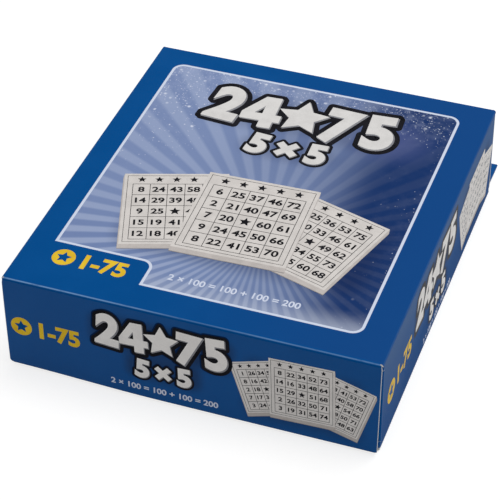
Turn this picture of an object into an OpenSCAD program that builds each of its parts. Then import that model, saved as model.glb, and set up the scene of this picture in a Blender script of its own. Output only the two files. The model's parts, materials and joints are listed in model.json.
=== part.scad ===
/* [Pads] */
// Width of a pad of number cards, left to right
pad_w = 99; // [80:1:120]
// Depth of a pad's sheets, front to back
pad_d = 105; // [85:1:130]
// Sheets in each pad
sheet_count = 100; // [80:1:120]
// Thickness of one sheet
sheet_t = 0.1; // [0.09:0.005:0.11]
// Thickness of the grey board under each pad
backing_t = 1.5; // [1:0.1:2]
// Thickness of the glue film along each pad's rear edge
glue_t = 0.4; // [0.2:0.1:0.6]

/* [Carton board] */
// Thickness of the folding board
board_t = 0.5; // [0.4:0.05:0.6]
// Inside radius of a folded edge
fold_in_r = 0.4; // [0.3:0.1:0.6]
// Clearance between pieces that lie on each other
seat_gap = 0.05; // [0.05:0.01:0.1]

/* [Room round the pads] */
// Free width beside the pads, both sides together
side_play = 4; // [3:0.5:8]
// Free depth before and behind the pads together
end_play = 7.5; // [7:0.5:12]
// Free height above the pads
head_play = 5.1; // [4.5:0.1:8]

/* [Closures] */
// Length of each tuck flap
tuck_l = 13; // [10:0.5:15]
// How far a tuck flap's ends stay inside the carton's, and inside the glued seam's on the left
tuck_inset = 0.8; // [0.8:0.1:2]
// Radius of a tuck flap's free corners
tuck_corner_r = 0.5; // [0.3:0.1:3]
// Angle at which the front tuck flap rises inwards
tuck_rise = 2.6; // [2.4:0.1:4]
// Gap between the front tuck flap and the bottom panel
tuck_gap = 0.1; // [0.1:0.05:0.4]
// How much narrower a closure is than the carton, each side
closure_inset = 0.3; // [0.2:0.1:0.6]
// Radius of a closure's lower corners
closure_corner_r = 1; // [0.5:0.1:2]
// Angle at which the tucked front closure bulges out
front_stand = 3; // [1:0.5:5]
// Angle at which the loose rear closure hangs out
rear_stand = 1.5; // [0.5:0.5:4]

/* [Dust flaps] */
// Length of a dust flap, from the carton's side
dust_l = 26; // [18:1:34]
// Taper of a dust flap's upper edge
dust_taper = 22; // [22:1:26]
// Gap between the top panel and a dust flap's root
dust_head = 2; // [1.5:0.5:4]
// Rise of a dust flap's lower edge over the pads' underside, and again to its tip
dust_foot = 1.5; // [1:0.1:2]
// Radius of a dust flap's free corners
dust_corner_r = 3; // [1:0.5:4]

/* [Glued seam] */
// Height of the glued seam flap inside the left panel
seam_h = 12; // [8:0.5:16]
// Taper of the seam flap's ends
seam_taper = 20; // [10:1:45]
// Gap between the seam flap's ends and the dust flaps
seam_end_gap = 1.5; // [1:0.5:4]

/* [Hidden] */
$fn = 48;

// Overrun of a cut or an outline past the board that it trims
overrun = 1;
quarter_turn = 90;

// Fold: outside radius of a folded edge
fold_out_r = fold_in_r + board_t;

// Pads: thickness of a block of sheets and of a whole pad
block_t = (sheet_count - 1) * sheet_t;
pad_t = backing_t + sheet_count * sheet_t;

// Heights: upper side of the front tuck flap at its crease and at its tip
tuck_root_z = 2 * board_t + tuck_gap;
tuck_tip_z = tuck_root_z + tuck_l * sin(tuck_rise);
lower_pad_z = tuck_tip_z + seat_gap;
upper_pad_z = lower_pad_z + pad_t + seat_gap;

// Carton: outside size, worked out from what it holds
carton_w = pad_w + side_play + 2 * board_t;
end_layers = 2 * board_t + seat_gap;
carton_d = pad_d + glue_t + end_play + 2 * end_layers;
carton_h = upper_pad_z + pad_t + head_play + board_t;
half_w = carton_w / 2;
half_d = carton_d / 2;
end_y = half_d - board_t - seat_gap;
flat_half_w = half_w - fold_out_r;
pad_front_y = -half_d + end_layers + end_play / 2;

// Closures: length down to the tuck crease, and widths
front_drop = (carton_h - tuck_root_z - board_t * sin(front_stand)) / cos(front_stand);
closure_half_w = half_w - closure_inset;
tuck_left_x = -half_w + board_t + tuck_inset;
tuck_right_x = half_w - tuck_inset;
tuck_w = tuck_right_x - tuck_left_x;
tuck_mid_x = (tuck_left_x + tuck_right_x) / 2;

// Rear tuck flap: lies from its crease down to the ground
rear_crease_z = carton_h - front_drop * cos(rear_stand) - board_t / 2 * sin(rear_stand);
rear_crease_y = half_d + front_drop * sin(rear_stand) - board_t / 2 * cos(rear_stand);
rear_lean = asin((rear_crease_z - board_t / 2) / tuck_l);

// Dust flaps: heights of the root, above the ground
dust_low_z = lower_pad_z + dust_foot;
dust_high_z = carton_h - board_t - dust_head;
dust_root_h = dust_high_z - dust_low_z;
dust_shoulder_l = 2 * fold_out_r;

// Left panel: its lower edge is cut, and stays off the ground by a little
raw_lift = seat_gap;

// Colours, as shares of full brightness
blue = [0.08, 0.29, 0.55];
side_blue = [0.10, 0.26, 0.48];
raw_board = [0.80, 0.79, 0.76];
grey_board = [0.55, 0.54, 0.50];
paper = [0.93, 0.92, 0.89];
film = [0.86, 0.80, 0.66];

// Section drawn in Y and Z, run along X about the origin
module along_x(length) {
    translate([-length / 2, 0, 0])
        rotate([quarter_turn, 0, quarter_turn]) linear_extrude(length) children();
}

// Section drawn in X and Z, run along Y about the origin
module along_y(length) {
    translate([0, length / 2, 0])
        rotate([quarter_turn, 0, 0]) linear_extrude(length) children();
}

// Folded edges, drawn with the outer corner of the fold at the origin, the board going to +X
// and its inside towards +Y

module fold_ring() {
    difference() {
        circle(r = fold_out_r);
        circle(r = fold_in_r);
    }
}

// Half of a fold, which ends on the mitre plane that it shares with the next board
module fold_half() {
    reach = 2 * fold_out_r;
    translate([fold_out_r, fold_out_r])
        intersection() {
            fold_ring();
            polygon([[0, 0], [0, -reach], [-reach, -reach]]);
        }
}

// A whole fold of a quarter turn
module fold_quarter() {
    translate([fold_out_r, fold_out_r])
        intersection() {
            fold_ring();
            translate([-fold_out_r, -fold_out_r]) square(fold_out_r);
        }
}

// Flat board from the end of a fold to a given length
module board_strip(length) {
    translate([fold_out_r, 0]) square([length - fold_out_r, board_t]);
}

// What a rounded corner takes away, with the corner at the origin and the board in +X +Y
module corner_waste(radius) {
    difference() {
        translate([-overrun, -overrun]) square(radius + overrun);
        translate([radius, radius]) circle(r = radius);
    }
}

// Top panel

module top_long_profile() {
    for (side = [0, 1]) mirror([side, 0]) translate([-half_d, 0]) fold_half();
    translate([-half_d + fold_out_r, 0]) square([2 * (half_d - fold_out_r), board_t]);
}

module top_panel() {
    color(blue) {
        translate([0, 0, carton_h])
            along_x(2 * flat_half_w) mirror([0, 1]) top_long_profile();
        for (side = [0, 1]) mirror([side, 0, 0])
            translate([half_w, 0, carton_h])
                along_y(2 * end_y) mirror([1, 0]) mirror([0, 1]) fold_quarter();
    }
}

// Bottom panel, with its right fold and the inner fold that carries the seam flap

module bottom_profile() {
    seam_x = -half_w + board_t;
    translate([seam_x + fold_out_r, 0]) square([half_w - seam_x - 2 * fold_out_r, board_t]);
    translate([half_w, 0]) mirror([1, 0]) fold_quarter();
    translate([seam_x, 0]) fold_quarter();
}

module bottom_panel() {
    color(side_blue) along_y(2 * end_y) bottom_profile();
}

// Side panels

// A side panel's flat stretch and its two halves of a fold, seen from above, for the right side
module side_profile() {
    for (side = [0, 1]) mirror([0, side])
        translate([half_w, -end_y]) rotate(quarter_turn) fold_half();
    side_flat_profile();
}

module side_flat_profile() {
    flat_half_d = end_y - fold_out_r;
    translate([half_w - board_t, -flat_half_d]) square([board_t, 2 * flat_half_d]);
}

// The flat runs the whole height, and the folds only where the dust flaps join it
module side_panel(low_z) {
    translate([0, 0, low_z])
        linear_extrude(carton_h - fold_out_r - low_z) side_flat_profile();
    translate([0, 0, dust_low_z]) linear_extrude(dust_root_h) side_profile();
}

module right_panel() {
    color(side_blue) side_panel(fold_out_r);
}

module left_panel() {
    color(side_blue) mirror([1, 0, 0]) side_panel(raw_lift);
}

// Seam flap, which stands on the bottom panel's inner fold and is glued inside the left panel

module seam_outline() {
    root_half_d = end_y - board_t - seam_end_gap;
    rise = seam_h - fold_out_r;
    tip_half_d = root_half_d - rise * tan(seam_taper);
    polygon([
        [-root_half_d, fold_out_r], [root_half_d, fold_out_r],
        [tip_half_d, seam_h], [-tip_half_d, seam_h]
    ]);
}

module seam_flap() {
    color(raw_board)
        translate([-half_w + 1.5 * board_t, 0, 0]) along_x(board_t) seam_outline();
}

// Closures, drawn with the outer corner of their fold at the origin, hanging down, inside to +Y

// Section of the front closure: half fold, flat board, and half of the rounded tuck crease
module front_closure_profile() {
    fold_half();
    board_strip(front_drop);
    translate([front_drop, board_t]) crease_half();
}

// Half of a tuck crease round its inner line, with the board coming from -X
module crease_half() {
    reach = 2 * board_t;
    intersection() {
        circle(r = board_t);
        polygon([[0, 0], [0, -reach], [reach, -reach]]);
    }
}

// Section of the rear closure, whose lower edge is a wedge, so that its flap folds either way
module rear_closure_profile() {
    fold_half();
    board_strip(front_drop - board_t / 2);
    translate([front_drop - board_t / 2, 0]) wedge_edge();
}

module wedge_edge() {
    polygon([[0, 0], [board_t / 2, board_t / 2], [0, board_t]]);
}

// Outline of a closure, seen from its printed side: relief notches above, round corners below
module closure_outline() {
    low = front_drop + board_t;
    difference() {
        polygon([
            [-flat_half_w, overrun], [flat_half_w, overrun],
            [flat_half_w, -fold_out_r], [closure_half_w, -2 * fold_out_r],
            [closure_half_w, -low], [-closure_half_w, -low],
            [-closure_half_w, -2 * fold_out_r], [-flat_half_w, -fold_out_r]
        ]);
        for (side = [0, 1]) mirror([side, 0])
            translate([-closure_half_w, -front_drop]) corner_waste(closure_corner_r);
        translate([tuck_left_x - closure_half_w, -low - overrun])
            square([closure_half_w, board_t + overrun]);
        translate([tuck_right_x, -low - overrun])
            square([closure_half_w, board_t + overrun]);
    }
}

module closure_board(rear) {
    intersection() {
        along_x(2 * closure_half_w)
            rotate(-quarter_turn)
                if (rear) rear_closure_profile();
                else front_closure_profile();
        translate([0, board_t / 2, 0]) along_y(board_t + 2 * overrun) closure_outline();
    }
}

module front_closure() {
    color(blue)
        translate([0, -half_d, carton_h])
            rotate([-front_stand, 0, 0]) closure_board(false);
}

module rear_closure() {
    color(blue)
        translate([0, half_d, carton_h])
            rotate([rear_stand, 0, 0]) mirror([0, 1, 0]) closure_board(true);
}

// Tuck flaps, drawn flat with the crease on the X axis and the flap towards +Y

module tuck_outline(root_y) {
    difference() {
        translate([-tuck_w / 2, root_y]) square([tuck_w, tuck_l - root_y]);
        for (side = [0, 1]) mirror([side, 0])
            translate([-tuck_w / 2, tuck_l]) mirror([0, 1]) corner_waste(tuck_corner_r);
    }
}

module front_tuck_flap() {
    crease_y = -half_d + board_t * cos(front_stand) - front_drop * sin(front_stand);
    color(blue)
        translate([tuck_mid_x, crease_y, tuck_root_z])
            rotate([tuck_rise, 0, 0]) {
                translate([0, 0, -board_t]) linear_extrude(board_t) tuck_outline(0);
                along_x(tuck_w) mirror([1, 0]) crease_half();
            }
}

module rear_tuck_flap() {
    color(blue)
        translate([tuck_mid_x, rear_crease_y, rear_crease_z])
            rotate([-rear_lean, 0, 0]) {
                translate([0, 0, -board_t / 2])
                    linear_extrude(board_t) tuck_outline(board_t / 2);
                along_x(tuck_w)
                    translate([board_t / 2, -board_t / 2]) mirror([1, 0]) wedge_edge();
            }
}

// Dust flaps, drawn for the front right corner

module dust_profile() {
    translate([half_w, -end_y]) mirror([1, 0]) {
        fold_half();
        board_strip(dust_l);
    }
}

// Outline of a dust flap, seen from the front: tapered above, a shoulder below, round free corners
module dust_outline() {
    tip_x = half_w - dust_l;
    tip_low_z = dust_low_z + dust_foot;
    tip_high_z = dust_high_z - dust_l * tan(dust_taper);
    difference() {
        polygon([
            [half_w + overrun, dust_low_z], [half_w - dust_shoulder_l, dust_low_z],
            [tip_x, tip_low_z], [tip_x, tip_high_z],
            [half_w, dust_high_z], [half_w + overrun, dust_high_z]
        ]);
        translate([tip_x, tip_low_z]) corner_waste(dust_corner_r);
        translate([tip_x, tip_high_z]) mirror([0, 1]) corner_waste(dust_corner_r);
    }
}

module dust_flap() {
    intersection() {
        translate([0, 0, dust_low_z]) linear_extrude(dust_root_h) dust_profile();
        translate([0, -end_y, 0]) along_y(2 * (fold_out_r + overrun)) dust_outline();
    }
}

module front_right_dust_flap() {
    color(blue) dust_flap();
}

module front_left_dust_flap() {
    color(blue) mirror([1, 0, 0]) dust_flap();
}

module rear_right_dust_flap() {
    color(blue) mirror([0, 1, 0]) dust_flap();
}

module rear_left_dust_flap() {
    color(blue) mirror([1, 0, 0]) mirror([0, 1, 0]) dust_flap();
}

// Pads: grey board, block of sheets, the sheet on top, and the glue film behind

module pad_plate(low_z, thickness, depth) {
    translate([-pad_w / 2, pad_front_y, low_z]) cube([pad_w, depth, thickness]);
}

module pad_backing(low_z) {
    color(grey_board) pad_plate(low_z, backing_t, pad_d);
}

module pad_sheets(low_z) {
    color(paper) pad_plate(low_z + backing_t, block_t, pad_d);
}

module pad_top_sheet(low_z) {
    color(paper) pad_plate(low_z + backing_t + block_t, sheet_t, pad_d - seat_gap);
}

// The film has round outer corners where the glue draws back from the pad's faces
module pad_glue(low_z) {
    film_h = backing_t + block_t;
    color(film)
        translate([0, pad_front_y + pad_d, low_z])
            along_x(pad_w)
                difference() {
                    square([glue_t, film_h]);
                    translate([glue_t, 0]) mirror([1, 0]) corner_waste(glue_t / 2);
                    translate([glue_t, film_h]) mirror([1, 0]) mirror([0, 1])
                        corner_waste(glue_t / 2);
                }
}

module lower_backing() {
    pad_backing(lower_pad_z);
}

module lower_sheets() {
    pad_sheets(lower_pad_z);
}

module lower_top_sheet() {
    pad_top_sheet(lower_pad_z);
}

module lower_glue() {
    pad_glue(lower_pad_z);
}

module upper_backing() {
    pad_backing(upper_pad_z);
}

module upper_sheets() {
    pad_sheets(upper_pad_z);
}

module upper_top_sheet() {
    pad_top_sheet(upper_pad_z);
}

module upper_glue() {
    pad_glue(upper_pad_z);
}

top_panel();
bottom_panel();
left_panel();
right_panel();
seam_flap();
front_closure();
front_tuck_flap();
front_left_dust_flap();
front_right_dust_flap();
rear_closure();
rear_tuck_flap();
rear_left_dust_flap();
rear_right_dust_flap();
lower_backing();
lower_sheets();
lower_top_sheet();
lower_glue();
upper_backing();
upper_sheets();
upper_top_sheet();
upper_glue();
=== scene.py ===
# %% [markdown]
# # A folding carton of number pads
#
# A flat carton of printed board, with a closure at each end and two pads of number
# sheets inside. The solids, joints and sizes come from a measured frame, and everything
# below dresses that frame: real folded board with raw edges, print with numbers and plain
# signs only, paper, glue and grey board. Each step says what the real thing is first.

import json
import math
import random
from functools import partialmethod

import bmesh
import bpy
from mathutils import Matrix, Vector

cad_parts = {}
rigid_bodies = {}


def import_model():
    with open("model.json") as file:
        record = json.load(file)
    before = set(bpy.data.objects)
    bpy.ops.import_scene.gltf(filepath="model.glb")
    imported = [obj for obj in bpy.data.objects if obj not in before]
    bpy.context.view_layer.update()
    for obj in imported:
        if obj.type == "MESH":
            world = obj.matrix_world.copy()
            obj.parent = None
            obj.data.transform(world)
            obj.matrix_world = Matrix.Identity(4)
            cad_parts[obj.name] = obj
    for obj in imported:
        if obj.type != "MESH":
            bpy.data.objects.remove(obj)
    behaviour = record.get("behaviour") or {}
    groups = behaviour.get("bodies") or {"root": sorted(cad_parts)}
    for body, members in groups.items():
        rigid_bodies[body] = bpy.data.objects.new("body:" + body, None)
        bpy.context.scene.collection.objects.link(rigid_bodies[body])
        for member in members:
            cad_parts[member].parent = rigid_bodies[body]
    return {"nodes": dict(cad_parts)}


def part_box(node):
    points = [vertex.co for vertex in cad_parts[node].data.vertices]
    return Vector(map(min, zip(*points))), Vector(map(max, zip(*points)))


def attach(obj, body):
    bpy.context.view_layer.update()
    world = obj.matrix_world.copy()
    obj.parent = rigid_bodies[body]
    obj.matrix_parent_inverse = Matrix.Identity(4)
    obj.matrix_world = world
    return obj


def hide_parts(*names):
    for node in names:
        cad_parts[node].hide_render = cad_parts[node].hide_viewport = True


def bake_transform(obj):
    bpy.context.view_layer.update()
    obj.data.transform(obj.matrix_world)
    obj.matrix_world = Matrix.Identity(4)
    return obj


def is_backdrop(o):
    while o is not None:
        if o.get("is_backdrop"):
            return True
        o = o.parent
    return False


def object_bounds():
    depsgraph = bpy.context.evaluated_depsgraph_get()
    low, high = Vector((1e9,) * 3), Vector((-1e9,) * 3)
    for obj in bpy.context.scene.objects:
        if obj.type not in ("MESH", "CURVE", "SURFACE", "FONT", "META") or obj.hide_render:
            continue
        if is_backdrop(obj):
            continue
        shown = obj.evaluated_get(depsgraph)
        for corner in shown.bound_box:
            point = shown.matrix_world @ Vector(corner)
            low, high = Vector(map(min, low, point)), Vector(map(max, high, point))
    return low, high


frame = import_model()
cad_low, cad_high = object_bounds()
print("whole part, mm:", [round(1000 * (b - a), 2) for a, b in zip(cad_low, cad_high)])

# %% [markdown]
# The carton's sizes are written once, in millimetres, because board is drawn in
# millimetres by the people who cut it. Only the last step of each mesh turns them into
# metres. The height is read from the frame, since it follows from what the carton holds.

# %% Sizes of the board and the folds, in millimetres
MM = 0.001
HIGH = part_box("top_panel")[1].z / MM
HALF_W, HALF_D = 52.0, 57.5
BOARD = 0.5
FOLD_R = 0.9  # outside radius of a folded edge
ARC = FOLD_R * math.pi / 2
# how far back and front the tube's corners, the top between them, sides and seam reach
TUBE_END, TOP_END, SIDE_END, SEAM_END = 56.95, 56.6, 56.05, 54.95
CLOSURE_X, FOLD_X = 51.7, 51.1  # half widths of a closure and of its fold's root
TUCK = 13  # how far a tuck flap reaches
OFF_TABLE = 0.05  # the left panel's raw edge stands off the table
RECESS = 0.07  # the printed face lies this far inside the solid's, to leave room for ink
INK_STEP = 0.01  # one film of ink over another
print("carton height, mm:", round(HIGH, 3))

# %% [markdown]
# ## Folded board as a line that turns
#
# A carton is one flat sheet, so its shape is easiest to describe by its outer line: go
# straight for so long, turn by so many degrees over so long, go straight again. A point
# of the flat sheet then lands on the folded carton by walking along that line. The same
# walk places the board, its inner face and the ink, so they can't drift apart.

# %% A walk along folded board


def walk(start, heading, stretches, outside):
    """A walk over stretches, each with a name, a length and a turn in degrees. It gives
    where each stretch begins and ends, and a function for places and outward normals.
    Outside is 1 where the printed face is on the left hand, -1 on the right."""
    line, far = {}, 0.0
    for name, length, _ in stretches:
        line[name] = (far, far + length)
        far += length

    def at(a):
        p, h = Vector(start), math.radians(heading)
        for name, length, turn in stretches:
            run = a if name == stretches[-1][0] else min(a, length)
            k = math.radians(turn) / length
            if abs(k) < 1e-9:
                p = p + run * Vector((math.cos(h), math.sin(h)))
            else:
                p = p + Vector((math.sin(h + k * run) - math.sin(h),
                                math.cos(h) - math.cos(h + k * run))) / k
                h += k * run
            a -= run
            if a <= 0:
                break
        return p, outside * Vector((-math.sin(h), math.cos(h)))

    return line, at


def even_steps(low, high, most):
    """Cuts from low to high, none further apart than most."""
    count = max(1, math.ceil((high - low) / most - 1e-6))
    return [low + (high - low) * i / count for i in range(count + 1)]


# %% [markdown]
# The tube is walked round from the left panel's raw lower edge: up, over the top, down
# the right side, back along the underside, and up again inside the left panel, where the
# seam flap is glued. Its panels are stretches of one walk, so each fold is shared.

# %% The tube's outer line
SEAM_X, SEAM_WIDE = HALF_W - BOARD, 12  # the seam flap's place and width
TUBE, tube_at = walk((-HALF_W, OFF_TABLE), 90, [
    ("left", HIGH - FOLD_R - OFF_TABLE, 0), ("left_fold", ARC, -90),
    ("top", 2 * (HALF_W - FOLD_R), 0), ("right_fold", ARC, -90),
    ("right", HIGH - 2 * FOLD_R, 0), ("low_fold", ARC, -90),
    ("bottom", HALF_W + SEAM_X - 2 * FOLD_R, 0), ("seam_fold", ARC, -90),
    ("seam", SEAM_WIDE - FOLD_R, 0)], 1)
print("board round the tube, mm:", round(TUBE["seam"][1], 1))

# %% [markdown]
# Flat board is never quite flat. The top panel hangs a little between its folds, and the
# sides pull in a little, which is what makes a long soft gleam slide over real cartons.
# The sag is nothing at the edges, so neighbouring panels still meet.

# %% Sag of the tube's panels
# depth of each panel's sag, and half of the length that it runs over
SAGS = {"top": (0.28, TOP_END), "right": (0.3, SIDE_END), "left": (0.3, SIDE_END),
        "bottom": (0.1, TUBE_END)}


def sag(a, y):
    """How far the board lies inside its flat place."""
    for name, (depth, half) in SAGS.items():
        low, high = TUBE[name]
        if low < a < high and abs(y) < half:
            across = 1 - ((2 * a - low - high) / (high - low)) ** 2
            return depth * across * (1 - (y / half) ** 2)
    return 0.0


def tube_shape(a, y):
    """A point of the flat sheet, folded into the tube, with its outward normal."""
    p, n = tube_at(a)
    p = p - sag(a, y) * n
    return Vector((p.x, y, p.y)), Vector((n.x, 0, n.y))


# %% [markdown]
# ## The ends
#
# A closure hangs from the top panel by a fold and carries a tuck flap at its lower edge.
# In front the flap is tucked in over the bottom panel, and the closure bulges a little.
# Behind, the closure hangs loose and its flap lies splayed on the table, printed side up.
# Each end is one more walk, in depth and height.

# %% The ends' lines
TANGENT, CREASE_TANGENT = 0.9, 0.75  # from a fold's corner to where its bend begins
DROP = 29.304  # from the line of a closure's fold down to its crease
SPLAY_HIGH = 1.0895  # how high the rear crease lies above the table
FRONT_LEAN, TUCK_RISE, REAR_LEAN = 3.0, 2.6, 1.5  # degrees


def turn_length(tangent, turn):
    """Length of an arc that touches two lines at tangent from their corner."""
    half = math.radians(turn) / 2
    return tangent / math.tan(half) * 2 * half


front_turn, tuck_turn = 90 - FRONT_LEAN, 90 + FRONT_LEAN + TUCK_RISE
tuck_corner = DROP + BOARD * math.tan(math.radians(tuck_turn / 2))
FRONT, front_at = walk((-HALF_D + TANGENT, HIGH), 180, [
    ("fold", turn_length(TANGENT, front_turn), front_turn),
    ("closure", tuck_corner - CREASE_TANGENT - TANGENT, 0),
    ("crease", turn_length(CREASE_TANGENT, tuck_turn), tuck_turn),
    ("tuck", TUCK + tuck_corner - DROP - CREASE_TANGENT, 0)], -1)

rear_turn = 90 - REAR_LEAN
splay = rear_turn - math.degrees(math.asin((SPLAY_HIGH - BOARD / 2) / TUCK))
splay_tangent = BOARD / 2 * math.tan(math.radians(splay / 2))
REAR, rear_at = walk((HALF_D - TANGENT, HIGH), 0, [
    ("fold", turn_length(TANGENT, rear_turn), -rear_turn),
    ("closure", DROP - 2 * splay_tangent - TANGENT, 0),
    ("crease", BOARD / 2 * math.radians(splay), splay),
    ("tuck", TUCK - 2 * splay_tangent, 0)], 1)
for end, line, at in (("front", FRONT, front_at), ("rear", REAR, rear_at)):
    print(f"{end} tuck's tip, mm:", [round(c, 2) for c in at(line["tuck"][1])[0]])

# %% [markdown]
# In the tucked closure the board is strained: its left lower corner is pulled in against
# the tube and the middle stands off. So the front walk gets a bow, which grows down the
# closure, stays the same over the crease, and rides on along the tuck flap. The loose
# closure behind only swells a little.

# %% The bow of the tucked closure
PULLS = ((1.05, -8, -44), (0.12, 14, 40))  # how much, from where, growing over how far
BELLY, SWELL = 0.1, 0.12


def ease(t):
    t = max(0.0, min(1.0, t))
    return t * t * (3 - 2 * t)


def down(line, a):
    """How far down its closure a place lies, from 0 to 1."""
    low, high = line["closure"]
    return max(0.0, min(1.0, (a - low) / (high - low)))


def front_shape(x, a):
    p, n = front_at(a)
    pulled = sum(much * ease((x - start) / over) for much, start, over in PULLS)
    belly = BELLY * math.sin(math.pi * down(FRONT, a)) * (1 - (x / HALF_W) ** 2)
    bow = pulled * down(FRONT, a) ** 1.4 + belly
    return Vector((x, p.x + bow, p.y)), Vector((0, n.x, n.y))


def rear_shape(x, a):
    p, n = rear_at(a)
    swell = SWELL * math.sin(math.pi * down(REAR, a)) * math.cos(math.pi * x / (2 * HALF_W))
    return Vector((x, p.x - swell, p.y)), Vector((0, n.x, n.y))


# %% [markdown]
# Dust flaps hang on the side panels, one at each corner, and lie behind the closures.
# One walk round the front right corner serves all four, mirrored by the signs of x and y.

# %% A dust flap's line
DUST_FLAT = 25.1  # how far a dust flap reaches past its fold
DUST, dust_at = walk((HALF_W, -TUBE_END + FOLD_R), -90,
                     [("fold", ARC, -90), ("flap", DUST_FLAT, 0)], 1)


def dust_shape(side, end):
    """Shape of the flap at a corner: side is 1 at the right, end is -1 in front."""

    def shape(a, z):
        p, n = dust_at(a)
        return Vector((side * p.x, -end * p.y, z)), Vector((side * n.x, -end * n.y, 0))

    return shape


CORNERS = [(f"{end}_{side}", dust_shape(hand, sign))
           for end, sign in (("front", -1), ("rear", 1))
           for side, hand in (("right", 1), ("left", -1))]
print("dust flaps:", [name for name, _ in CORNERS])

# %% [markdown]
# ## Board from a die-cut outline
#
# A die cuts the flat sheet, and folding comes after. The mesh is made in that order: an
# outline on the flat, cuts across it wherever the board must bend, then the walk puts
# every point in place. A second layer one board thickness inside is the bare face, and a
# strip all round between the two is the raw edge, which shows as a pale line wherever
# board is cut.

# %% Helpers for outlines, cuts and pieces


def corner(x, y, r, sx, sy):
    """Points of a rounded outline corner. Its tip is at x, y, on the side of sx and sy."""
    turn = [i * math.pi / 10 for i in range(6)]
    if sx != sy:
        turn.reverse()
    return [(x - sx * r * (1 - math.cos(t)), y - sy * r * (1 - math.sin(t))) for t in turn]


def oblong(low_u, high_u, low_v, high_v):
    return [(low_u, low_v), (high_u, low_v), (high_u, high_v), (low_u, high_v)]


def cut(bm, u_cuts, v_cuts, near):
    """Cuts flat faces along straight lines. Points nearer than near are on the line."""
    for normal, cuts in ((Vector((1, 0, 0)), u_cuts), (Vector((0, 1, 0)), v_cuts)):
        for c in cuts:
            bmesh.ops.bisect_plane(
                bm, geom=bm.verts[:] + bm.edges[:] + bm.faces[:], dist=near,
                plane_co=normal * c, plane_no=normal)


def show(name, data, looks=(), body=None, node=None):
    """Puts a piece in the scene: its finishes, its body, and the solid it stands for, which it
    hides.
    """
    if isinstance(data, bmesh.types.BMesh):
        shape, data = data, bpy.data.meshes.new(name)
        shape.to_mesh(data)
        shape.free()
    for look in looks:
        data.materials.append(look)
    piece = bpy.data.objects.new(name, data)
    bpy.context.scene.collection.objects.link(piece)
    if body:
        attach(piece, body)
    if node:
        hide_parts(node)
    return piece


# %% Board maker


def board(name, outline, u_cuts, v_cuts, shape, look, body=None, node=None, out=RECESS):
    """A piece of folded board: printed face, bare face and raw edge."""
    flat = bmesh.new()
    flat.faces.new([flat.verts.new((u, v, 0)) for u, v in outline])
    cut(flat, u_cuts, v_cuts, 1e-5)
    flat.verts.index_update()
    count = len(flat.verts)
    spots = [shape(v.co.x, v.co.y) for v in flat.verts]
    points = [(p - depth * n) * MM for depth in (out, BOARD) for p, n in spots]
    faces, tints = [], []
    for f in flat.faces:
        loop = [v.index for v in f.verts]
        faces += [loop, [i + count for i in reversed(loop)]]
        tints += [0, 1]
    for e in flat.edges:
        if len(e.link_faces) == 1:
            a, b = (v.index for v in e.verts)
            faces.append([a, b, b + count, a + count])
            tints.append(2)
    flat.free()
    mesh = bpy.data.meshes.new(name)
    mesh.from_pydata(points, [], faces)
    mesh.polygons.foreach_set("material_index", tints)
    bm = bmesh.new()
    bm.from_mesh(mesh)
    bmesh.ops.recalc_face_normals(bm, faces=bm.faces[:])
    bm.to_mesh(mesh)
    bm.free()
    mesh.polygons.foreach_set("use_smooth", [True] * len(mesh.polygons))
    mesh.set_sharp_from_angle(angle=math.radians(40))
    return show(name, mesh, (look, BARE, RAW), body, node)


# %% [markdown]
# A fold that turns in use can't be rigid board: half of it belongs to one panel and half
# to the next. It is its own narrow strip. Here it is drawn at rest, and the code works
# out the stretch over which its turn would run: from where both faces of the strip leave
# the first panel to where both reach the second.

# %% Fold maker


def fold_strip(name, outline, u_cuts, v_cuts, shape, ends):
    """A strip of board across a joint. Ends are its first and last place in the shape."""
    strip = board(name, outline, u_cuts, v_cuts, shape, FOLD_PRINT)
    (p0, n0), (p1, n1) = (shape(*e) for e in ends)
    along = p1 - p0
    reach = [(p - BOARD * n - p0).dot(along) / along.length_squared
             for p, n in ((p0, n0), (p1, n1))]
    first, last = max(0.0, reach[0]), min(1.0, reach[1])
    (p0 + first * along) * MM
    (p0 + last * along) * MM
    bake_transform(strip)
    print(f"{name}: turns over {(last - first) * along.length:.2f} mm")


# %% [markdown]
# ## Finishes
#
# Every finish is worked out from the piece's own coordinates in millimetres, so that its
# grain has a real size. Small classes keep the node trees readable: a reading is a number
# that differs from place to place, and adding or multiplying readings adds Math nodes.

# %% Colours and readings


def paint(r, g, b):
    """A colour as seen on a screen, 0 to 255, turned into light."""
    return tuple(((c / 255 + 0.055) / 1.055) ** 2.4 if c > 10 else c / 3294.6
                 for c in (r, g, b)) + (1.0,)


class Reading:
    """A number in a node tree, and the arithmetic that adds Math nodes to it."""

    def __init__(self, nodes, socket):
        self.nodes, self.socket = nodes, socket

    def do(self, what, *others):
        return self.nodes.sum(what, self, *others)

    __add__ = __radd__ = partialmethod(do, "ADD")
    __sub__ = partialmethod(do, "SUBTRACT")
    __mul__ = __rmul__ = partialmethod(do, "MULTIPLY")
    __truediv__ = partialmethod(do, "DIVIDE")
    __neg__ = partialmethod(do, "MULTIPLY", -1)
    size = partialmethod(do, "ABSOLUTE")
    least = partialmethod(do, "MINIMUM")
    most = partialmethod(do, "MAXIMUM")

    def __rsub__(self, other):
        return self.nodes.sum("SUBTRACT", other, self)

    def rise(self, low, high):
        """0 below low, 1 above high, and a soft step between."""
        node = self.nodes.add("MapRange", dict(enumerate((self, low, high, 0.0, 1.0))),
                              interpolation_type="SMOOTHSTEP")
        return Reading(self.nodes, node.outputs[0])


BLUE = paint(2, 77, 143)
print("the carton's blue as light:", [round(c, 3) for c in BLUE])

# %% Shorthand for nodes


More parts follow.
